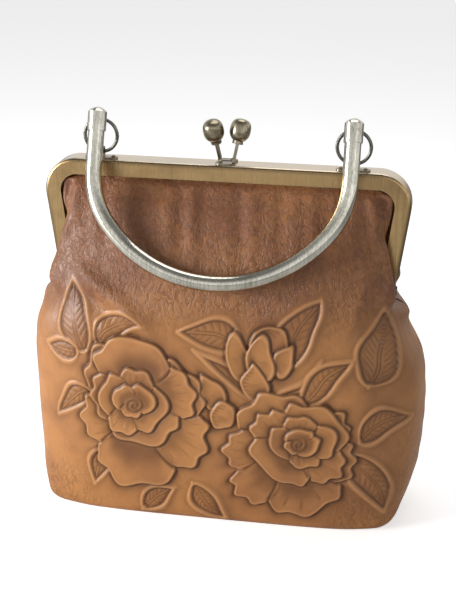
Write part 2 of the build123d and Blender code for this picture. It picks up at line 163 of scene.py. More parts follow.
def leatherFinish(name, tooled):
    finish, tree, shader = newFinish(name)
    look = leatherLook
    place = objectPlace(tree)
    warp = addNode(tree, "ShaderNodeTexNoise", Vector=place, Scale=look["warp"], Detail=3.0).outputs["Color"]
    bend = addNode(tree, "ShaderNodeVectorMath", operation="MULTIPLY_ADD")
    bent = feedAll(tree, bend, (warp, look["warpReach"], place))
    cloudScale, cloudRough = look["cloud"]
    cloudy = noiseOf(tree, place, cloudScale, 5.0, cloudRough)
    patchScale, patchRough = look["patch"]
    patches = noiseOf(tree, place, patchScale, 5.0, patchRough)
    pebble = cellLines(tree, bent, look["pebbleSize"], look["pebbleLine"])
    crease = cellLines(tree, bent, look["creaseSize"], look["creaseLine"])
    fold = cellLines(tree, bent, look["foldSize"], look["foldLine"])
    wrinkle = noiseOf(tree, scaled(tree, bent, look["wrinkleSize"]), 1.0, 4.0, 0.62)

    # the strongest line shows; creases and folds are broken up by the noises
    lines = ramp(tree, wrinkle, *look["wrinkleRange"], look["wrinkleShare"], 0.0)
    for cells, broken in (
        (crease, ramp(tree, patches, *look["creaseRange"], 0.0, look["creaseShare"])),
        (fold, ramp(tree, cloudy, *look["foldRange"], 0.0, look["foldShare"])),
    ):
        lines = sums(tree, "MAXIMUM", lines, sums(tree, "MULTIPLY", cells, broken))
    lines = sums(tree, "MULTIPLY", lines, attribute(tree, "creased"))

    height = addNode(tree, "ShaderNodeSeparateXYZ", Vector=place).outputs["Z"]
    # painted shade: brown high up under the frame, together with clouds of uneven tone
    shadeAndCloudBrown = sums(tree, "ADD", ramp(tree, height, *look["paintedShadeHeights"], 0.0, look["paintedShadeShare"]),
                   ramp(tree, cloudy, *look["cloudRange"], 0.0, look["cloudShare"]))
    colour = mixColour(tree, shadeAndCloudBrown, look["tan"], look["brown"])
    colour = mixColour(tree, ramp(tree, patches, *look["wornRange"], 0.0, look["wornShare"]), colour, look["worn"])
    if tooled:
        # the recess value darkens the pressed lines and the ground around them: antique dye together with painted shade
        dyedAndShaded = sums(tree, "MULTIPLY", attribute(tree, "recess"), look["recessShare"])
        colour = mixColour(tree, dyedAndShaded, colour, look["antique"])
        rubbed = sums(tree, "MULTIPLY", attribute(tree, "raised"), look["raisedShare"])
        colour = mixColour(tree, rubbed, colour, look["worn"])
    colour = mixColour(tree, sums(tree, "MULTIPLY", lines, look["lineShare"]), colour, look["antique"])
    feed(tree, shader.inputs["Base Color"], colour)
    feed(tree, shader.inputs["Roughness"], ramp(tree, patches, *look["glossRange"], *look["roughness"]))
    shader.inputs["Specular IOR Level"].default_value = look["specular"]
    shader.inputs["Coat Weight"].default_value = look["coat"]
    shader.inputs["Coat Roughness"].default_value = look["coatRoughness"]
    soft = bumpOf(tree, sums(tree, "SUBTRACT", 1.0, pebble), *look["pebbleBump"])
    cutIn = bumpOf(tree, sums(tree, "SUBTRACT", 1.0, lines), *look["lineBump"], under=soft)
    feed(tree, shader.inputs["Normal"], cutIn)
    return finish


# metals: antique brass on the frame, pewter on the handle, aged brass on the small parts
metalLook = {
    "frame": {"light": (0.62, 0.42, 0.20), "dark": (0.20, 0.125, 0.060), "roughness": (0.22, 0.38),
              "grain": (1500, 1500, 14), "patina": 34},
    "small": {"light": (0.34, 0.29, 0.21), "dark": (0.08, 0.062, 0.045), "roughness": (0.26, 0.42),
              "grain": (420, 420, 60), "patina": 120},
    "bead": {"light": (0.35, 0.305, 0.215), "dark": (0.12, 0.097, 0.062), "roughness": (0.18, 0.32),
             "grain": (500, 500, 90), "patina": 90},
    "handle": {"light": (0.70, 0.68, 0.59), "dark": (0.21, 0.196, 0.153), "roughness": (0.10, 0.19),
               "grain": (900, 900, 30), "patina": 40},
    "ring": {"light": (0.20, 0.19, 0.17), "dark": (0.055, 0.052, 0.046), "roughness": (0.20, 0.34),
             "grain": (700, 700, 700), "patina": 160},
    # how far patina and grain darken every metal, and the grain's bump
    "wear": {"patinaRange": (0.38, 0.70), "patinaShare": 0.35, "grainRange": (0.35, 0.70), "grainShare": 0.45,
             "glossRange": (0.3, 0.75), "bump": (0.12, 0.00008)},
    # the frame's outline in metres, painted shade along its edge and a painted pale reflection where it faces up
    "edge": {"half": 0.1125, "top": 0.217, "lean": 0.1317, "dark": (0.060, 0.042, 0.026), "darkShare": 0.9,
             "reach": (0.001, 0.0042), "ragged": 0.002, "faceUp": (0.6, 0.95), "pale": (0.66, 0.62, 0.54),
             "paleShare": 0.6},
}


def fromRim(tree, place):
    # how far a point lies inside the frame's outer edge, in metres
    edge = metalLook["edge"]
    split = addNode(tree, "ShaderNodeSeparateXYZ", Vector=place)
    below = sums(tree, "SUBTRACT", edge["top"], split.outputs["Z"])
    aside = sums(tree, "SUBTRACT", edge["half"], sums(tree, "ABSOLUTE", split.outputs["X"], 0.0))
    aside = sums(tree, "SUBTRACT", aside, sums(tree, "MULTIPLY", below, edge["lean"]))
    return sums(tree, "MINIMUM", below, aside)


def metalFinish(name, look, rimmed=False):
    finish, tree, shader = newFinish(name)
    wear, edge = metalLook["wear"], metalLook["edge"]
    place = objectPlace(tree)
    brushed = noiseOf(tree, scaled(tree, place, look["grain"]), 1.0, 4.0, 0.7)
    cloudy = noiseOf(tree, place, look["patina"], 5.0, 0.6)
    aged = sums(tree, "ADD", ramp(tree, cloudy, *wear["patinaRange"], 0.0, wear["patinaShare"]),
                ramp(tree, brushed, *wear["grainRange"], 0.0, wear["grainShare"]))
    colour = mixColour(tree, aged, look["light"], look["dark"])
    if rimmed:
        # painted shade near the frame's outer edge on faces that do not face up, and a painted pale reflection on faces
        # that do
        facing = addNode(tree, "ShaderNodeTexCoord").outputs["Normal"]
        facing = addNode(tree, "ShaderNodeSeparateXYZ", Vector=facing).outputs["Z"]
        ragged = sums(tree, "ADD", fromRim(tree, place), sums(tree, "MULTIPLY", brushed, edge["ragged"]))
        shaded = sums(tree, "MULTIPLY", ramp(tree, ragged, *edge["reach"], edge["darkShare"], 0.0),
                      ramp(tree, facing, *edge["faceUp"], 1.0, 0.0))
        colour = mixColour(tree, shaded, colour, edge["dark"])
        colour = mixColour(tree, ramp(tree, facing, *edge["faceUp"], 0.0, edge["paleShare"]), colour, edge["pale"])
    feed(tree, shader.inputs["Base Color"], colour)
    shader.inputs["Metallic"].default_value = 1.0
    feed(tree, shader.inputs["Roughness"], ramp(tree, brushed, *wear["glossRange"], *look["roughness"]))
    feed(tree, shader.inputs["Normal"], bumpOf(tree, brushed, *wear["bump"]))
    return finish


# lining cloth and the paper string in the channels: waves along each way that threads run
threadLook = {
    "cloth": {"low": (0.20, 0.115, 0.06), "high": (0.30, 0.18, 0.10), "ways": ("X", "Z"), "scale": 260, "waver": 0.6,
              "roughness": 0.85, "sheen": 0.2, "bump": (0.3, 0.0002)},
    "string": {"low": (0.52, 0.44, 0.31), "high": (0.33, 0.26, 0.17), "ways": ("DIAGONAL",), "scale": 45, "waver": 1.5,
               "roughness": 0.8, "sheen": 0.0, "bump": (0.3, 0.0003)},
}


def threadFinish(name, look):
    finish, tree, shader = newFinish(name)
    place = objectPlace(tree)
    waves = [addNode(tree, "ShaderNodeTexWave", Vector=place, Scale=look["scale"], Distortion=look["waver"], Detail=2.0,
                     bands_direction=way).outputs["Fac"] for way in look["ways"]]
    over = sums(tree, "MULTIPLY", *waves) if len(waves) == 2 else waves[0]
    feed(tree, shader.inputs["Base Color"], mixColour(tree, over, look["low"], look["high"]))
    shader.inputs["Roughness"].default_value = look["roughness"]
    shader.inputs["Sheen Weight"].default_value = look["sheen"]
    feed(tree, shader.inputs["Normal"], bumpOf(tree, over, *look["bump"]))
    return finish


finishes = {
    "frame": metalFinish("antiqueBrass", metalLook["frame"], rimmed=True),
    "small": metalFinish("agedBrass", metalLook["small"]),
    "bead": metalFinish("satinBrass", metalLook["bead"]),
    "handle": metalFinish("satinPewter", metalLook["handle"]),
    "ring": metalFinish("darkPewter", metalLook["ring"]),
    "tooled": leatherFinish("tooledLeather", True),
    "plain": leatherFinish("plainLeather", False),
    "cloth": threadFinish("liningCloth", threadLook["cloth"]),
    "string": threadFinish("paperString", threadLook["string"]),
}


def setFinish(piece, finish):
    piece.data.materials.clear()
    piece.data.materials.append(finish)


for nodeName, finishName in (
    ("front_frame", "frame"), ("rear_frame", "frame"),
    ("hinge_pin_left", "small"), ("hinge_pin_right", "small"),
    ("clasp_arm_front", "small"), ("clasp_arm_rear", "small"),
    ("clasp_bead_front", "bead"), ("clasp_bead_rear", "bead"),
    ("clasp_rivet_front", "small"), ("clasp_rivet_rear", "small"),
    ("lug_rivets", "small"), ("ring_lug_left", "small"), ("ring_lug_right", "small"),
    ("handle_cap_left", "handle"), ("handle_cap_right", "handle"),
    ("channel_string_front", "string"), ("channel_string_rear", "string"),
):
    setFinish(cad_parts[nodeName], finishes[finishName])
print("finishes on the solids that stay")


# pouch surface in millimetres, on the solids' sections with slimmer flanks; widths and depths are shares
pouch = {
    "bagHeight": 217.0, "hingeZ": 144.0, "flangeZ": 207.4,
    "halfWidth": 124.0, "halfDepth": 49.0,
    "frameWidth": 225.0, "frameLean": 7.5, "frameCorner": 20.0,
    "channelFace": 9.6, "channelDepth": 8.0,
    "hide": 1.6, "seamGap": 0.15, "tuck": 1.0, "mouthGap": 0.9,
    "throatGap": 2.5, "throatShare": 0.35, "puff": 17.0, "samples": 800,
    # height, width, depth, arch power, seam opening
    "belly": (
        (0.0, 0.890, 0.81, 4.6, 0), (0.018, 0.910, 0.855, 4.5, 0), (0.05, 0.924, 0.88, 4.3, 0),
        (0.12, 0.944, 0.912, 4.0, 0), (0.24, 0.966, 0.96, 3.5, 0), (0.43, 0.984, 0.99, 3.1, 0),
        (0.62, 0.986, 1.0, 2.9, 0), (0.78, 0.962, 0.985, 2.8, 0.02), (0.88, 0.918, 0.96, 2.7, 0.08),
        (0.95, 0.876, 0.925, 2.6, 0.3),
    ),
    # rise, depth, puff, arch power
    "mouth": (
        (0.03, 0.875, 1.00, 2.5), (0.15, 0.83, 0.88, 2.4), (0.30, 0.765, 0.62, 2.4), (0.46, 0.665, 0.36, 2.4),
        (0.62, 0.54, 0.18, 2.5), (0.77, 0.405, 0.08, 2.6), (0.89, 0.275, 0.02, 2.8), (0.96, 0.185, 0, 3.0),
        (1.0, 0.125, 0, 3.0),
    ),
    # the lining: height, width, depth, arch power, opening at its ends
    "lining": (
        (0.02, 0.85, 0.75, 4.5, 0.12), (0.10, 0.885, 0.83, 4.0, 0.12), (0.19, 0.91, 0.875, 3.6, 0.12),
        (0.30, 0.925, 0.90, 3.2, 0.12), (0.46, 0.91, 0.90, 3.0, 0.12), (0.60, 0.81, 0.84, 2.8, 0.14),
        (0.71, 0.87, 0.725, 2.6, 0.3), (0.82, 0.885, 0.55, 2.6, 0.4), (0.92, 0.88, 0.31, 2.8, 0.4),
        (0.975, 0.862, 0.14, 3.0, 0.4), (0.995, 0.87, 0.085, 3.2, 0.4),
    ),
    "columns": (0, 0.2, 0.4, 0.58, 0.74, 0.86, 0.945),
}


def frameX(z, inset):
    lean = radians(pouch["frameLean"])
    level = min(z, pouch["bagHeight"] - pouch["frameCorner"])
    radius = pouch["frameCorner"] - inset
    x = pouch["frameWidth"] / 2 - (pouch["bagHeight"] - level) * tan(lean) - inset / cos(lean)
    return x - radius + sqrt(max(radius ** 2 - (z - level) ** 2, 0))


def smoothThrough(knots, values, at):
    # natural cubic spline through rows of values
    knots, values, at = np.asarray(knots, float), np.asarray(values, float), np.asarray(at, float)
    count, gap = len(knots), np.diff(knots)
    flat = values.reshape(count, -1)
    system, right = np.eye(count), np.zeros_like(flat)
    for i in range(1, count - 1):
        system[i, i - 1:i + 2] = gap[i - 1], 2 * (gap[i - 1] + gap[i]), gap[i]
        right[i] = 6 * ((flat[i + 1] - flat[i]) / gap[i] - (flat[i] - flat[i - 1]) / gap[i - 1])
    curve = np.linalg.solve(system, right)
    i = np.clip(np.searchsorted(knots, at) - 1, 0, count - 2)
    d, h = (at - knots[i])[:, None], gap[i][:, None]
    slope = (flat[i + 1] - flat[i]) / h - h * (2 * curve[i] + curve[i + 1]) / 6
    result = flat[i] + d * slope + d ** 2 * curve[i] / 2 + d ** 3 * (curve[i + 1] - curve[i]) / (6 * h)
    return result.reshape((len(at),) + values.shape[1:])


def archY(share, power):
    return (1 - share ** power) ** (1 / power)


def seamedSection(across, depth, power, seam):
    seamY = -pouch["seamGap"] - seam * pouch["channelDepth"] / 2
    deep = pouch["halfDepth"] * depth + seamY
    return [(across * c, seamY - deep * archY(c, power)) for c in pouch["columns"] + (1,)]


def mouthSection(z, depth, puffed, power):
    middle = -pouch["channelDepth"] / 2
    inner = frameX(z, pouch["channelFace"])
    deep = pouch["halfDepth"] * depth + middle
    points = [((inner + puffed * pouch["puff"]) * c, middle - deep * archY(c, power)) for c in pouch["columns"]]
    throat = inner - pouch["mouthGap"] - puffed * pouch["throatGap"]
    points.append((throat, middle - min(pouch["channelDepth"] / 2 + pouch["hide"], deep * pouch["throatShare"])))
    points.append((throat - puffed * pouch["throatGap"], middle))
    return points


def pouchSections():
    sections = []
    for height, width, *shares in pouch["belly"]:
        sections.append((height * pouch["hingeZ"], seamedSection(pouch["halfWidth"] * width, *shares)))
    for rise, *shares in pouch["mouth"]:
        z = pouch["hingeZ"] + rise * (pouch["flangeZ"] - pouch["hingeZ"])
        sections.append((z, mouthSection(z, *shares)))
    sections.append((pouch["flangeZ"] + pouch["tuck"], sections[-1][1]))
    return sections


def liningSections():
    sections = []
    for height, width, *shares in pouch["lining"]:
        z = height * pouch["flangeZ"]
        across = pouch["halfWidth"] if z < pouch["hingeZ"] else frameX(z, pouch["channelFace"])
        sections.append((z, seamedSection(across * width, *shares)))
    return sections


def layRows(sections, acrossShares, upShares):
    # every section resampled along its length, then run through the heights
    # each point is x, y, z and its length along the section from the middle
    rows = []
    for z, points in sections:
        right = np.array(points)
        whole = np.vstack([right[:0:-1] * (-1, 1), right])
        knots = np.r_[0, np.cumsum(np.hypot(*np.diff(whole, axis=0).T) ** 0.5)]
        fine = smoothThrough(knots, whole, np.linspace(0, knots[-1], pouch["samples"]))
        along = np.r_[0, np.cumsum(np.hypot(*np.diff(fine, axis=0).T))]
        at = acrossShares * along[-1]
        rows.append(np.stack([np.interp(at, along, fine[:, 0]), np.interp(at, along, fine[:, 1]),
                              np.full(len(at), z), at - along[-1] / 2], axis=-1))
    rows = np.array(rows)
    middle = rows[:, rows.shape[1] // 2, :3]
    knots = np.r_[0, np.cumsum(np.linalg.norm(np.diff(middle, axis=0), axis=1))]
    return smoothThrough(knots, rows, upShares * knots[-1])


def outwards(points):
    across = np.gradient(points, axis=1)
    up = np.gradient(points, axis=0)
    normal = np.cross(across, up)
    normal /= np.maximum(np.linalg.norm(normal, axis=-1, keepdims=True), 1e-9)
    return normal if normal[len(points) // 2, points.shape[1] // 2, 1] < 0 else -normal


def spread(count, stretches):
    # shares from 0 to 1 in stretches, each with its end and how close together its points lie
    ends = np.array([0.0] + [end for end, closeness in stretches])
    weights = np.array([closeness for end, closeness in stretches]) * np.diff(ends)
    return np.interp(np.linspace(0, 1, count), np.r_[0, np.cumsum(weights)] / weights.sum(), ends)


# tooling: two roses, a bud and leaves pressed into the front, in millimetres along the surface
tooling = {
    "slope": 0.9, "far": 60.0,  # distances are taken a little short, and none counts past the far one
    "wobble": (0.9, 0.5),  # how far a hand-led line strays, slowly and quickly
    # every outline: a groove on it, a bevel outside, a rubbed rim inside; groove and bevel are darkened by antique dye
    # and painted shade
    "edge": {"soft": 0.45, "groove": 0.70, "grooveWidth": 0.78, "grooveDark": 0.97, "bevel": 0.62, "bevelWidth": 3.0,
             "rim": 0.34, "rimIn": 1.25, "rimWidth": 0.75, "halo": 0.92, "haloWidth": 3.0},
    # depths and widths, shares of darkening by antique dye and painted shade, and the reach over which each line comes
    # and goes
    "leaf": {"swell": (0.85, 0.8), "taper": (1.08, 0.3), "welt": 0.68, "weltIn": 0.5, "weltWidth": 1.3,
             "line": 2.4, "lineDeep": 0.55, "leastHalf": 0.3, "sunk": (-0.8, 0.4), "dome": 0.22, "dye": 0.12,
             "shade": 0.55, "shadeWidth": 2.2, "rib": 0.9, "ribWidth": 0.5, "ribDeep": 0.30, "ribDark": 0.75,
             "ribEnds": (0.03, 0.94), "veinLean": 0.9, "veinWidth": 0.6, "veinDeep": 0.30, "veinDark": 0.62,
             "veinReach": (0.16, 0.30, 0.80, 0.98), "own": (0.2, 1.9), "halo": 0.45, "haloOut": 1.2,
             "haloWidth": 2.4, "haloReach": (0.9, 1.9)},
    "petal": {"narrow": 0.75, "waves": (0.06, 0.04), "height": 0.30, "cup": 0.40, "shade": 0.30,
              "shadeReach": (0.2, 0.8), "strokeWidth": 0.6, "strokeDeep": 0.22, "strokeDark": 0.5,
              "strokeReach": (0.35, 0.5, 0.72, 0.86)},
    "ring": {"uneven": 0.16, "lobe": 0.55, "scallopReach": (0, 0.15, 0.85, 1), "sizes": 0.06, "cusp": 0.80,
             "height": 0.26, "step": 0.14, "cup": 0.50, "lap": 0.40, "lapReach": (0.3, 0.9),
             "seamLean": 0.22, "seamWidth": 0.75, "seamDeep": 0.50, "seamDark": 0.95, "seamReach": (0.35, 0.5),
             "shade": 0.55, "shadeWidth": 2.6, "shadeReach": (0.35, 0.6), "inner": 0.62, "innerReach": (0.50, 0.85),
             "veins": 5, "veinLean": 0.35, "veinWidth": 0.55, "veinDeep": 0.18, "veinDark": 0.45,
             "veinReach": (0.58, 0.68, 0.80, 0.90)},
    "core": {"pitch": 3.0, "reach": (5.0, 6.4), "coil": 0.30, "height": 0.1, "dark": 0.8, "darkReach": (0.2, -0.9)},
    # each leaf: foot, tip, half width, bend and the spacing of its veins
    "leaves": (
        {"foot": (-78, 106), "tip": (-90, 149), "wide": 12, "bend": 2, "veins": 4.2},
        {"foot": (-70, 112), "tip": (-40, 127), "wide": 10, "bend": 8, "veins": 4.4},
        {"foot": (-82, 107), "tip": (-107, 109), "wide": 8, "bend": 3, "veins": 4.2},
        {"foot": (-78, 83), "tip": (-101, 62), "wide": 8.5, "bend": -3, "veins": 4.6},
        {"foot": (-66, 45), "tip": (-76, 19), "wide": 8.5, "bend": -3, "veins": 4.0},
        {"foot": (-43, 4), "tip": (-25, 22), "wide": 9, "bend": 1, "veins": 3.2},
        {"foot": (-15, 27), "tip": (11, 3), "wide": 8.5, "bend": -2, "veins": 3.4},
        {"foot": (21, 117), "tip": (-19, 126), "wide": 11, "bend": -6, "veins": 4.6},
        {"foot": (22, 84), "tip": (-9, 117), "wide": 5, "bend": -4, "veins": 0},
        {"foot": (46, 110), "tip": (63, 150), "wide": 12.5, "bend": 4, "veins": 5.0},
        {"foot": (26, 84), "tip": (66, 113), "wide": 4.5, "bend": -5, "veins": 0},
        {"foot": (92, 97), "tip": (101, 143), "wide": 15, "bend": -5, "veins": 3.8},
        {"foot": (51, 86), "tip": (85, 113), "wide": 9, "bend": 3, "veins": 4.4},
        {"foot": (86, 61), "tip": (119, 77), "wide": 10.5, "bend": 7, "veins": 3.6},
        {"foot": (75, 52), "tip": (106, 14), "wide": 12.5, "bend": 5, "veins": 4.6},
    ),
    # bud: sepals first, then the closed petals between them
    "bud": (
        {"middle": (17, 113), "size": (8, 17), "turn": 0.10, "point": 0.6, "strokes": 0},
        {"middle": (36, 122), "size": (12, 13), "turn": -0.50, "point": 0.5, "strokes": 3.0},
        {"middle": (44, 113), "size": (6, 13), "turn": -0.45, "point": 0.6, "strokes": 0},
        {"middle": (30, 112), "size": (9, 16), "turn": -0.15, "point": 0.5, "strokes": 0},
        {"middle": (25, 97), "size": (9, 13.5), "turn": -0.05, "point": 0.9, "strokes": 2.4},
    ),
    # loose petals between the two roses
    "petals": (
        {"middle": (-2, 90), "size": (8, 12), "turn": 0.25, "point": 0, "strokes": 0},
        {"middle": (4, 76), "size": (8, 10), "turn": -0.30, "point": 0, "strokes": 2.4},
    ),
    # each rose: its middle and its rings of petals, from the outside in
    "roses": (
        {"middle": (-50, 78), "rings": (
            {"radius": 42, "petals": 5, "turn": 0.10, "shift": (5, -8), "tall": 1.16, "wave": 0.040, "scallops": 3},
            {"radius": 32.5, "petals": 4, "turn": 0.62, "shift": (4, 6), "tall": 1.10, "wave": 0.040, "scallops": 3},
            {"radius": 22.5, "petals": 4, "turn": 0.25, "shift": (-2, 1), "tall": 0.98, "wave": 0.045, "scallops": 2},
            {"radius": 13.5, "petals": 3, "turn": 0.72, "shift": (-1, 2), "tall": 0.88, "wave": 0.045, "scallops": 2},
        )},
        {"middle": (51, 61), "rings": (
            {"radius": 42, "petals": 6, "turn": 0.35, "shift": (-6, -10), "tall": 0.98, "wave": 0.040, "scallops": 3},
            {"radius": 31, "petals": 4, "turn": 0.10, "shift": (-2, -2), "tall": 0.90, "wave": 0.045, "scallops": 3},
            {"radius": 21, "petals": 4, "turn": 0.55, "shift": (1, 1), "tall": 0.80, "wave": 0.045, "scallops": 2},
            {"radius": 11.5, "petals": 3, "turn": 0.30, "shift": (1, 1), "tall": 0.82, "wave": 0.045, "scallops": 2},
        )},
    ),
}


def smoothStep(low, high, value):
    t = np.clip((value - low) / (high - low), 0, 1)
    return t * t * (3 - 2 * t)


def between(value, start, full, fade, end):
    # rises from start to full and falls from fade to end
    return smoothStep(start, full, value) * (1 - smoothStep(fade, end, value))


def ridge(distance, width):
    return np.exp(-(distance / width) ** 2)


def fadeOut(distance, width):
    return np.exp(-np.maximum(distance, 0) / width)


def strokes(distance, spacing, width):
    # thin lines at an even spacing
    phase = distance / spacing
    return ridge((phase - np.round(phase)) * spacing, width)


def blankField(s):
    field = {name: np.zeros_like(s) for name in ("height", "dark", "rim")}
    field["near"] = np.full_like(s, tooling["far"])
    return field


def darken(field, dark):
    field["dark"] = np.maximum(field["dark"], dark)


def lay(field, own, outside, height, dark, rim):
    # one element's own values over those of what lies under it
    field["height"] = field["height"] * (1 - own) + height * own
    field["dark"] = field["dark"] * (1 - own) + dark * own
    field["rim"] = np.maximum(field["rim"] * (1 - own), rim * own)
    field["near"] = np.minimum(field["near"], outside)


def press(field, outside, height, dark):
    # its own surface inside, a groove on its outline, a bevel outside, with antique dye and painted shade in the groove
    # and on the bevel
    cut = tooling["edge"]
    inside = 1 - smoothStep(-cut["soft"], cut["soft"], outside)
    field["height"] -= cut["bevel"] * fadeOut(outside, cut["bevelWidth"]) * (1 - inside)
    # painted shade and antique dye fading out over the ground beside the outline
    darken(field, cut["halo"] * fadeOut(outside, cut["haloWidth"]) * (1 - inside))
    rim = ridge(outside + cut["rimIn"], cut["rimWidth"])
    lay(field, inside, outside, height + cut["rim"] * rim, dark, rim)
    groove = ridge(outside, cut["grooveWidth"])
    field["height"] -= cut["groove"] * groove
    darken(field, cut["grooveDark"] * groove)


def pressLeaf(field, s, z, leaf):
    # a rounded welt along the outline, a dark line inside it and veins on the sunk middle
    cut, edge = tooling["leaf"], tooling["edge"]
    foot, tip = np.array(leaf["foot"], float), np.array(leaf["tip"], float)
    long = np.linalg.norm(tip - foot)
    way = (tip - foot) / long
    along = ((s - foot[0]) * way[0] + (z - foot[1]) * way[1]) / long
    side = -(s - foot[0]) * way[1] + (z - foot[1]) * way[0]
    inRange = np.clip(along, 0, 1)
    side = np.abs(side - leaf["bend"] * 4 * inRange * (1 - inRange))
    (swell, bluntness), (wideFoot, taper) = cut["swell"], cut["taper"]
    half = leaf["wide"] * np.sin(pi * inRange ** swell) ** bluntness * (wideFoot - taper * inRange)
    outside = np.maximum(side - half, np.maximum(-along, along - 1) * long) * tooling["slope"]
    fromLine = outside + cut["line"]
    welt = ridge(outside + cut["weltIn"], cut["weltWidth"])
    groove = ridge(fromLine, edge["grooveWidth"])
    sunk = smoothStep(*cut["sunk"], -fromLine)
    share = np.clip(side / np.maximum(half - cut["line"], cut["leastHalf"]), 0, 1)
    height = cut["welt"] * welt - cut["lineDeep"] * groove + sunk * cut["dome"] * (1 - share)
    shaded = cut["dye"] + cut["shade"] * np.exp(fromLine / cut["shadeWidth"])
    dark = np.maximum(edge["grooveDark"] * groove, sunk * shaded)
    ribStart, ribEnd = cut["ribEnds"]
    rib = ridge(side - cut["rib"], cut["ribWidth"]) * sunk * (along > ribStart) * (along < ribEnd)
    height = height - cut["ribDeep"] * rib
    dark = np.maximum(dark, cut["ribDark"] * rib)
    if leaf["veins"]:
        vein = strokes(along * long - side * cut["veinLean"], leaf["veins"], cut["veinWidth"])
        vein = vein * between(share, *cut["veinReach"]) * sunk
        height = height - cut["veinDeep"] * vein
        dark = np.maximum(dark, cut["veinDark"] * vein)
    lay(field, 1 - smoothStep(*cut["own"], outside), outside, height, dark, welt)
    # painted shade and antique dye on the ground just outside the leaf
    halo = cut["halo"] * fadeOut(outside - cut["haloOut"], cut["haloWidth"])
    darken(field, halo * smoothStep(*cut["haloReach"], outside))


def pressPetal(field, s, z, petal):
    cut = tooling["petal"]
    p, q = s - petal["middle"][0], z - petal["middle"][1]
    c, d = cos(petal["turn"]), sin(petal["turn"])
    p, q = p * c + q * d, -p * d + q * c
    wide, tall = petal["size"]
    p = p / (1 - cut["narrow"] * petal["point"] * np.clip(q / tall, 0, 1))
    angle = np.arctan2(q / tall, p / wide)
    slow, quick = cut["waves"]
    edge = 1 + (slow * np.sin(3 * angle + wide) + quick * np.sin(5 * angle + tall)) * (1 - petal["point"])
    share = np.hypot(p / wide, q / tall) / edge
    within = np.clip(share, 0, 1)
    height = cut["height"] + cut["cup"] * within ** 2
    dark = cut["shade"] * (1 - smoothStep(*cut["shadeReach"], within)) * (q < 0)
    if petal["strokes"]:
        lengthwise, crosswise = (p, q) if wide > tall else (q, p)
        stroke = strokes(lengthwise, petal["strokes"], cut["strokeWidth"])
        stroke = stroke * between(share, *cut["strokeReach"]) * (crosswise < 0)
        height = height - cut["strokeDeep"] * stroke
        dark = np.maximum(dark, cut["strokeDark"] * stroke)
    press(field, (share - 1) * min(wide, tall), height, dark)


def pressRing(field, p, q, ring, depth):
    # one ring of overlapping petals; depth counts the rings from the outside
    cut = tooling["ring"]
    r = np.hypot(p, q)
    petalWidth = 2 * pi * r / ring["petals"]
    turn = np.arctan2(q, p) / (2 * pi) * ring["petals"] - ring["turn"]
    turn = turn + cut["uneven"] * np.sin(turn * 4 * pi / ring["petals"] + depth * 2.0)  # petals of uneven width
    place = np.mod(turn, 1)
    which = np.floor(np.mod(turn, ring["petals"]))
    lobe = np.clip(np.sin(pi * place), 0, 1) ** cut["lobe"]
    wavy = -np.cos(2 * pi * place * ring["scallops"]) * ring["wave"] * between(place, *cut["scallopReach"])
    size = 1 + cut["sizes"] * np.sin(which * 2.3 + depth)
    edge = ring["radius"] * size * (cut["cusp"] + (1 - cut["cusp"]) * lobe + wavy)
    share = np.clip(r / edge, 0, 1)
    height = cut["height"] + cut["step"] * depth + cut["cup"] * share ** 3
    height = height + cut["lap"] * (place - 0.5) * smoothStep(*cut["lapReach"], share)
    swirl = np.mod(turn + cut["seamLean"] * (1 - share), 1)  # the line between two petals leans as it runs in
    seam = ridge(np.minimum(swirl, 1 - swirl) * petalWidth, cut["seamWidth"]) * smoothStep(*cut["seamReach"], share)
    shaded = fadeOut(swirl * petalWidth, cut["shadeWidth"]) * smoothStep(*cut["shadeReach"], share)
    vein = np.mod(place * (cut["veins"] + depth % 2) + cut["veinLean"] * share, 1) - 0.5
    vein = ridge(vein * petalWidth / cut["veins"], cut["veinWidth"])
    vein = vein * between(share, *cut["veinReach"]) * (which % 2 == depth % 2)  # on every second petal
    # painted shade towards the ring's middle, where the next ring lies over it
    inner = 1 - smoothStep(*cut["innerReach"], share)
    dark = np.maximum(cut["seamDark"] * seam, cut["shade"] * shaded)
    dark = np.maximum(dark, np.maximum(cut["veinDark"] * vein, cut["inner"] * inner))
    height = height - cut["seamDeep"] * seam - cut["veinDeep"] * vein
    press(field, (r - edge) * tooling["slope"], height, dark)


def pressRose(field, s, z, rose):
    p, q = s - rose["middle"][0], z - rose["middle"][1]
    for depth, ring in enumerate(rose["rings"]):
        aside, above = ring["shift"]
        pressRing(field, p - aside, (q - above) / ring["tall"], ring, depth)
    cut = tooling["core"]
    r = np.hypot(p, q)
    coil = np.sin(2 * pi * r / cut["pitch"] - np.arctan2(q, p))
    core = 1 - smoothStep(*cut["reach"], r)
    field["height"] += core * (cut["coil"] * coil + cut["height"])
    darken(field, core * cut["dark"] * smoothStep(*cut["darkReach"], coil))


def toolFront(field, s, z):
    slow, quick = tooling["wobble"]
    a = s + slow * np.sin(z / 8.5 + 1.0) + quick * np.sin(z / 3.9 + s / 11)
    b = z + slow * np.sin(s / 9.0 + 2.0) + quick * np.sin(s / 4.3 + z / 13)
    for leaf in tooling["leaves"]:
        pressLeaf(field, a, b, leaf)
    for petal in tooling["bud"] + tooling["petals"]:
        pressPetal(field, a, b, petal)
    for rose in tooling["roses"]:
        pressRose(field, a, b, rose)


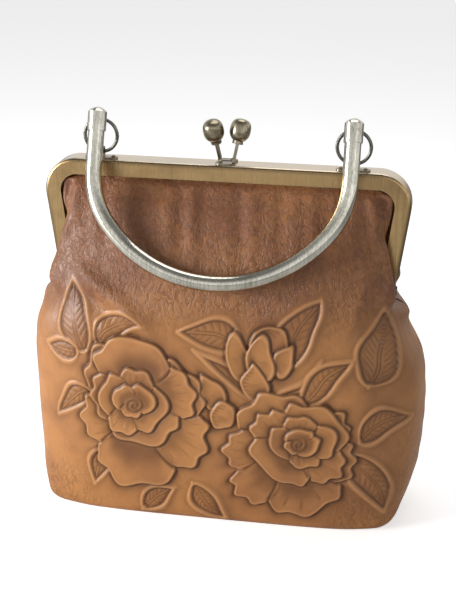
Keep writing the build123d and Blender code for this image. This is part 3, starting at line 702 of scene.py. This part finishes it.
# folds and edges of the leather, in millimetres; a fold's four heights are where it starts, is full, fades and ends
folds = {
    "pleat": 0.42, "pleatHeights": (150, 188, 201.5, 205.5),
    "slack": 0.7, "slackHeights": (112, 150, 192, 203),
    "tuckDeep": 1.7, "tuckFrom": 8.0, "tuckWide": 2.8, "roll": 1.3, "rollFrom": 15.0, "rollWide": 4.0,
    "tuckHeights": (158, 172, 200, 205),
    "seamDip": 0.9, "seamWide": 2.2, "ripple": 0.25, "ripplePitch": 2.6, "rippleWide": 5.0, "seamEnd": (123, 139),
    "hem": 2.5, "hemRise": (3, 9), "turnedEdge": 1.6, "lip": (0.966, 0.84, 1),
    # the soft belly hangs a little to one side, and its shoulders to the other
    "leans": ({"by": 3.0, "heights": (0, 42, 72, 122)}, {"by": -1.6, "heights": (106, 122, 126, 141)}),
    # soft folds of the front, each with a hollow beside it
    "brows": (
        {"from": (-86, 154), "to": (-36, 124), "rise": 2.3, "wide": 5.5, "hollow": 1},
        {"from": (92, 168), "to": (84, 132), "rise": 0.9, "wide": 5.0, "hollow": -1},
    ),
    "browEnds": (-0.25, 0.2, 0.75, 1.2), "browApart": 2, "hollowShare": 0.7,
    # where the leather is wrinkled: all over, under the frame, at the lower corners and on one flank
    "wrinkled": {"allOver": 0.12, "top": (116, 152), "corner": 0.8, "cornerFrom": (60, 95), "cornerTop": (12, 45),
                 "flank": 0.5, "flankFrom": (100, 118), "flankHeights": (20, 40, 60, 85), "offTooling": (0.5, 6)},
}


def browFolds(s, z):
    lift = np.zeros_like(s)
    for brow in folds["brows"]:
        (s0, z0), (s1, z1), wide = brow["from"], brow["to"], brow["wide"]
        long = sqrt((s1 - s0) ** 2 + (z1 - z0) ** 2)
        along = ((s - s0) * (s1 - s0) + (z - z0) * (z1 - z0)) / long ** 2
        across = ((s - s0) * (z1 - z0) - (z - z0) * (s1 - s0)) / long * brow["hollow"]
        hollow = ridge(across - wide - folds["browApart"], wide)
        shape = ridge(across + folds["browApart"], wide) - folds["hollowShare"] * hollow
        lift += brow["rise"] * between(along, *folds["browEnds"]) * shape
    return lift


def gathers(s, z, toEdge, seed):
    # pleats that run down from the frame, slack below them and a tuck along each side of the mouth
    pleat = np.sin(s / 3.6 + 1.6 * np.sin(s / 19 + seed) + 0.9 * np.sin(z / 15 + s / 40))
    pleat += 0.6 * np.sin(s / 1.9 + seed + z / 19) + 0.5 * np.sin(s / 7.5 - z / 26)
    slack = np.sin(s / 21 + z / 16 + seed) * np.sin(s / 34 - z / 23 + 2 * seed)
    tuck = folds["roll"] * ridge(toEdge - folds["rollFrom"], folds["rollWide"])
    tuck -= folds["tuckDeep"] * ridge(toEdge - folds["tuckFrom"], folds["tuckWide"])
    lift = folds["pleat"] * pleat * between(z, *folds["pleatHeights"])
    lift += folds["slack"] * slack * between(z, *folds["slackHeights"])
    return lift + tuck * between(z, *folds["tuckHeights"])


def seamPull(z, toEdge, seed):
    # the side seam draws the leather in and ripples it
    dip = folds["seamDip"] * ridge(toEdge, folds["seamWide"])
    ripple = folds["ripple"] * np.sin(z / folds["ripplePitch"] + seed) * fadeOut(toEdge, folds["rippleWide"])
    return (ripple - dip) * (1 - smoothStep(*folds["seamEnd"], z))


def wrinklesOf(s, z, near):
    look = folds["wrinkled"]
    corner = smoothStep(*look["cornerFrom"], np.abs(s)) * (1 - smoothStep(*look["cornerTop"], z))
    flank = smoothStep(*look["flankFrom"], s) * between(z, *look["flankHeights"])
    wrinkled = look["allOver"] + smoothStep(*look["top"], z) + look["corner"] * corner + look["flank"] * flank
    return np.clip(wrinkled, 0, 1) * smoothStep(*look["offTooling"], near)


def leanOf(z):
    return sum(lean["by"] * between(z, *lean["heights"]) for lean in folds["leans"])


# grid of each sheet: points across and up, and stretches with their end and how close together points lie
leatherCuts = {
    "front": {"across": 358, "up": 272, "acrossStretches": ((0.14, 0.40), (0.86, 1.0), (1.0, 0.40)),
              "upStretches": ((0.62, 1.0), (1.0, 0.62))},
    "back": {"across": 220, "up": 180, "acrossStretches": ((1.0, 1.0),), "upStretches": ((1.0, 1.0),)},
    "lining": {"across": 90, "up": 70, "acrossStretches": ((1.0, 1.0),), "upStretches": ((1.0, 1.0),)},
}


def makeSheet(name, points):
    # a grid, moved vertex by vertex onto the surface
    up, across = points.shape[:2]
    bpy.ops.object.select_all(action="DESELECT")
    bpy.ops.mesh.primitive_grid_add(x_subdivisions=across - 1, y_subdivisions=up - 1, size=2)
    sheet = bpy.context.active_object
    sheet.name = name
    sheet.data.name = name
    flat = np.zeros(len(sheet.data.vertices) * 3)
    sheet.data.vertices.foreach_get("co", flat)
    flat = flat.reshape(-1, 3)
    column = np.rint((flat[:, 0] + 1) / 2 * (across - 1)).astype(int)
    row = np.rint((flat[:, 1] + 1) / 2 * (up - 1)).astype(int)
    sheet.data.vertices.foreach_set("co", (points[row, column] * millimetre).ravel())
    sheet.data.update()
    return sheet, row, column


def addValues(sheet, name, values):
    layer = sheet.data.attributes.new(name, "FLOAT", "POINT")
    layer.data.foreach_set("value", np.asarray(values, np.float32).ravel())


def smoothShade(sheet):
    bpy.ops.object.select_all(action="DESELECT")
    sheet.select_set(True)
    bpy.context.view_layer.objects.active = sheet
    bpy.ops.object.shade_smooth()


def turnEdges(points, normal, depth):
    # one more row or column at each edge: hemmed into the channel beside the mouth, turned in elsewhere
    sides = []
    for edge in (0, -1):
        turned = points[:, edge] - normal[:, edge] * depth
        hemmed = np.array([(frameX(z, pouch["channelFace"]) + folds["hem"], -pouch["channelDepth"] / 2, z)
                           for z in np.clip(points[:, edge, 2], pouch["hingeZ"], pouch["flangeZ"] - folds["hem"])])
        hemmed[:, 0] *= np.sign(points[:, edge, 0])
        share = smoothStep(*folds["hemRise"], points[:, edge, 2] - pouch["hingeZ"])[:, None]
        sides.append((turned * (1 - share) + hemmed * share)[:, None])
    points = np.concatenate([sides[0], points, sides[1]], axis=1)
    lip = points[:1] * folds["lip"]
    top = points[-1:] + np.array((0, depth, 0))
    return np.concatenate([lip, points, top], axis=0)


def layCut(sections, cut):
    # the grid of one sheet: points, length from the middle, height and length from the nearer side
    rows = layRows(sections, spread(cut["across"], cut["acrossStretches"]), spread(cut["up"], cut["upStretches"]))
    s = rows[..., 3]
    return rows[..., :3], s, rows[..., 2], s.max(axis=1, keepdims=True) - np.abs(s)


def makePanel(name, cut, tooled, seed):
    points, s, z, toEdge = layCut(pouchSections(), cut)
    normal = outwards(points)
    field = blankField(s)
    lift = gathers(s, z, toEdge, seed) + seamPull(z, toEdge, seed)
    if tooled:
        toolFront(field, s, z)
        lift += field["height"] + browFolds(s, z)
    points = points + normal * lift[..., None]
    points[..., 2] = np.maximum(points[..., 2], 0)
    points = turnEdges(points, normal, folds["turnedEdge"])
    if not tooled:
        points = points * (-1, -1, 1)
    points[..., 0] += leanOf(points[..., 2])
    sheet, row, column = makeSheet(name, points)
    creased = wrinklesOf(s, z, field["near"])
    for valueName, values in (("recess", field["dark"]), ("raised", field["rim"]), ("creased", creased)):
        addValues(sheet, valueName, np.pad(values, 1, mode="edge")[row, column])  # a turned edge repeats its neighbour
    smoothShade(sheet)
    return sheet


frontLeather = makePanel("frontLeather", leatherCuts["front"], True, 0.7)
setFinish(frontLeather, finishes["tooled"])
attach(frontLeather, "bag")
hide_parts("front_panel")
print("front leather,", len(frontLeather.data.polygons), "faces")

backLeather = makePanel("backLeather", leatherCuts["back"], False, 2.3)
setFinish(backLeather, finishes["plain"])
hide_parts("back_panel")
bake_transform(backLeather)
print("back leather,", len(backLeather.data.polygons), "faces")


# lining: thin cloth that hangs from the channels, a little slack
lining = {"thick": 0.0006, "flat": (0.285, 0.222), "area": 0.0502,
          "slack": 0.5, "slackHeights": (0, 30, 185, 200), "slackFrom": (4, 20)}


def makeLining(name, front):
    points, s, z, toEdge = layCut(liningSections(), leatherCuts["lining"])
    loose = between(z, *lining["slackHeights"]) * smoothStep(*lining["slackFrom"], toEdge)
    slack = 1 + np.sin(s / 9 + 1.2 * np.sin(z / 30)) + 0.6 * np.sin(s / 23 - z / 19)
    points = points - outwards(points) * (lining["slack"] * slack * loose)[..., None]
    if not front:
        points = points * (-1, -1, 1)
    cloth = makeSheet(name, points)[0]
    smoothShade(cloth)
    wall = cloth.modifiers.new("wall", "SOLIDIFY")
    wall.thickness = lining["thick"]
    wall.offset = -1
    bpy.ops.object.modifier_apply(modifier="wall")
    setFinish(cloth, finishes["cloth"])
    return cloth


liningFront = makeLining("liningFront", True)
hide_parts("lining_front")
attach(liningFront, "bag")
liningBack = makeLining("liningBack", False)
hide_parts("lining_back")
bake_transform(liningBack)
print("lining, two sheets")

# base: a flat leather board inside the turned lip
base = {"half": (0.1069, 0.0326), "power": 4.6, "thick": 0.0016, "edge": 0.0004, "edgeSteps": 3, "points": 120,
        "smoothAngle": 40, "wrinkled": 0.3}


def makeBase():
    bpy.ops.object.select_all(action="DESELECT")
    bpy.ops.mesh.primitive_circle_add(vertices=base["points"], radius=1, fill_type="NGON")
    board = bpy.context.active_object
    board.name = "baseLeather"
    board.data.name = "baseLeather"
    wide, deep = base["half"]
    for point in board.data.vertices:
        angle = atan2(point.co.y, point.co.x)
        across, along = abs(cos(angle)), abs(sin(angle))
        reach = (across ** base["power"] + along ** base["power"]) ** (-1 / base["power"])
        point.co = (wide * reach * cos(angle), deep * reach * sin(angle), 0)
    bpy.ops.object.mode_set(mode="EDIT")
    bpy.ops.mesh.select_all(action="SELECT")
    bpy.ops.mesh.extrude_region_move(TRANSFORM_OT_translate={"value": (0, 0, base["thick"])})
    bpy.ops.mesh.select_all(action="SELECT")
    bpy.ops.mesh.normals_make_consistent(inside=False)
    bpy.ops.object.mode_set(mode="OBJECT")
    soften = board.modifiers.new("soften", "BEVEL")
    soften.width = base["edge"]
    soften.segments = base["edgeSteps"]
    soften.limit_method = "ANGLE"
    bpy.ops.object.modifier_apply(modifier="soften")
    bpy.ops.object.shade_smooth_by_angle(angle=radians(base["smoothAngle"]))
    return board


baseLeather = makeBase()
addValues(baseLeather, "creased", [base["wrinkled"]] * len(baseLeather.data.vertices))
setFinish(baseLeather, finishes["plain"])
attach(baseLeather, "bag")
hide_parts("base_panel")
print("base board")

# handle tube: one leg, three bends and the other leg
handle = {
    "span": 0.075, "legTop": 0.0016, "legFoot": -0.031, "sideBend": 0.050, "bottomMiddle": -0.01096,
    "sideAngle": 38.7, "radius": 0.0048, "eye": (0, -0.004, 0.2408), "reach": 0.0075, "lean": 21.985,
    "sides": 40, "sideSteps": 20, "bottomSteps": 64, "weld": 0.00001,
}


def makeHandle():
    h = handle
    bpy.ops.object.select_all(action="DESELECT")
    bpy.ops.mesh.primitive_circle_add(vertices=h["sides"], radius=h["radius"], location=(h["span"], 0, h["legTop"]))
    tube = bpy.context.active_object
    tube.name = "handleTube"
    bpy.ops.object.transform_apply(location=True, rotation=True, scale=True)
    bpy.ops.object.mode_set(mode="EDIT")
    bpy.ops.mesh.select_all(action="SELECT")
    bpy.ops.mesh.extrude_region_move(TRANSFORM_OT_translate={"value": (0, 0, h["legFoot"] - h["legTop"])})
    side = radians(h["sideAngle"])
    run = h["span"] - h["sideBend"]
    for steps, angle, x, z in (
        (h["sideSteps"], -side, run, h["legFoot"]),
        (h["bottomSteps"], 2 * side - pi, 0, h["bottomMiddle"]),
        (h["sideSteps"], -side, -run, h["legFoot"]),
    ):
        bpy.ops.mesh.spin(steps=steps, angle=angle, center=(x, 0, z), axis=(0, 1, 0))
    bpy.ops.mesh.extrude_region_move(TRANSFORM_OT_translate={"value": (0, 0, h["legTop"] - h["legFoot"])})
    bpy.ops.mesh.select_all(action="SELECT")
    bpy.ops.mesh.remove_doubles(threshold=h["weld"])
    bpy.ops.mesh.normals_make_consistent(inside=False)
    bpy.ops.object.mode_set(mode="OBJECT")
    lean = radians(h["lean"])
    tube.rotation_euler = (-lean, 0, 0)
    tube.location = Vector(h["eye"]) + Vector((0, -cos(lean), sin(lean))) * h["reach"]
    bpy.ops.object.transform_apply(location=True, rotation=True, scale=True)
    bpy.ops.object.shade_smooth()
    return tube


handleTube = makeHandle()
setFinish(handleTube, finishes["handle"])
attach(handleTube, "handle")
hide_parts("handle_tube")
print("handle tube,", len(handleTube.data.polygons), "faces")

# rings: bent wire with its butt joint high on the outer side
ring = {"middle": (0.075, -0.004, 0.231), "radius": 0.0098, "wire": 0.0014, "around": 72, "sides": 18,
        "joint": 0.00035, "jointAngle": 40, "jointHalf": 1}


def makeRing(name, side):
    x, y, z = ring["middle"]
    bpy.ops.object.select_all(action="DESELECT")
    bpy.ops.mesh.primitive_torus_add(major_radius=ring["radius"], minor_radius=ring["wire"],
                                     major_segments=ring["around"], minor_segments=ring["sides"],
                                     location=(side * x, y, z), rotation=(pi / 2, 0, 0))
    loop = bpy.context.active_object
    loop.name = name
    loop.data.name = name
    bpy.ops.object.transform_apply(location=True, rotation=True, scale=True)
    for point in loop.data.vertices:
        turn = atan2(point.co.x - side * x, point.co.z - z)
        point.select = abs(turn - side * radians(ring["jointAngle"])) < radians(ring["jointHalf"])
    bpy.ops.object.mode_set(mode="EDIT")
    bpy.ops.mesh.select_mode(type="VERT")
    bpy.ops.transform.shrink_fatten(value=-ring["joint"])
    bpy.ops.object.mode_set(mode="OBJECT")
    bpy.ops.object.shade_smooth()
    return loop


for ringName, side, nodeName in (("ringLeft", -1, "ring_left"), ("ringRight", 1, "ring_right")):
    loop = makeRing(ringName, side)
    setFinish(loop, finishes["ring"])
    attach(loop, "rings")
    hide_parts(nodeName)
print("rings")


# floor, light and camera
studio = {
    "floor": (0.86, 0.86, 0.86), "floorSize": 12, "floorZ": -0.0002, "floorRoughness": 0.9, "glow": 0.62,
    # the sky's strength from the horizon up to the zenith, for light and for what metal mirrors
    "sky": {"fade": (0.1, 0.8), "strength": (0.36, 0.16)},
    "mirrored": {"fade": (0.35, 0.85), "strength": (1.0, 0.25)},
    "lights": (
        {"name": "keyLight", "from": (-1.15, -0.60, 0.40), "size": 0.6, "power": 18.5},
        {"name": "fillLight", "from": (0.85, -0.95, 0.35), "size": 0.9, "power": 1.0},
        {"name": "topLight", "from": (0.05, 0.35, 1.05), "size": 0.7, "power": 3.5},
    ),
    "aim": (0.0013, 0.0, 0.1279), "azimuth": 10.0, "elevation": 20.86, "roll": 0.38, "distance": 0.799,
    "lens": 77.0, "sensor": 36,
}

bpy.ops.mesh.primitive_plane_add(size=studio["floorSize"], location=(0, 0, studio["floorZ"]))
floor = bpy.context.active_object
floor.name = "studioFloor"
bpy.ops.object.transform_apply(location=True, rotation=True, scale=True)
floorFinish, floorTree, floorShader = newFinish("paleFloor")
feed(floorTree, floorShader.inputs["Base Color"], studio["floor"])
floorShader.inputs["Roughness"].default_value = studio["floorRoughness"]
plain = floorShader.outputs[0]
glow = addNode(floorTree, "ShaderNodeEmission", Strength=studio["glow"]).outputs[0]
whole = feedAll(floorTree, addNode(floorTree, "ShaderNodeAddShader"), (plain, glow))
seen = addNode(floorTree, "ShaderNodeLightPath").outputs["Is Camera Ray"]
shown = feedAll(floorTree, addNode(floorTree, "ShaderNodeMixShader"), (seen, plain, whole))
feed(floorTree, floorTree.nodes["Material Output"].inputs["Surface"], shown)
setFinish(floor, floorFinish)

world = bpy.data.worlds.new("paleStudio")
bpy.context.scene.world = world
world.use_nodes = True
sky = world.node_tree
back = sky.nodes["Background"]
feed(sky, back.inputs["Color"], (1, 1, 1))
rays = addNode(sky, "ShaderNodeLightPath")
aloft = addNode(sky, "ShaderNodeTexCoord").outputs["Generated"]
aloft = addNode(sky, "ShaderNodeSeparateXYZ", Vector=aloft).outputs["Z"]
lit, mirrored = [ramp(sky, aloft, *studio[part]["fade"], *studio[part]["strength"]) for part in ("sky", "mirrored")]
strength = addNode(sky, "ShaderNodeMix")
for plug, value in ((0, rays.outputs["Is Glossy Ray"]), (2, lit), (3, mirrored)):
    feed(sky, strength.inputs[plug], value)
feed(sky, back.inputs["Strength"], sums(sky, "MAXIMUM", strength.outputs[0], rays.outputs["Is Camera Ray"]))

for lamp in studio["lights"]:
    light = bpy.data.lights.new(lamp["name"], "AREA")
    light.energy = lamp["power"]
    light.size = lamp["size"]
    stand = bpy.data.objects.new(lamp["name"], light)
    bpy.context.scene.collection.objects.link(stand)
    stand.location = lamp["from"]
    stand.rotation_euler = (Vector(studio["aim"]) - Vector(lamp["from"])).to_track_quat("-Z", "Y").to_euler()

camera = bpy.data.cameras.new("photoCamera")
camera.lens = studio["lens"]
camera.sensor_width = studio["sensor"]
tripod = bpy.data.objects.new("photoCamera", camera)
bpy.context.scene.collection.objects.link(tripod)
turn, rise = radians(studio["azimuth"]), radians(studio["elevation"])
away = Vector((sin(turn) * cos(rise), -cos(turn) * cos(rise), sin(rise)))
tripod.location = Vector(studio["aim"]) + away * studio["distance"]
level = (-away).to_track_quat("-Z", "Y")
tripod.rotation_euler = (level @ Quaternion((0, 0, 1), radians(studio["roll"]))).to_euler()
bpy.context.scene.camera = tripod
bpy.context.scene.view_settings.view_transform = "Standard"
print("floor, light and camera")
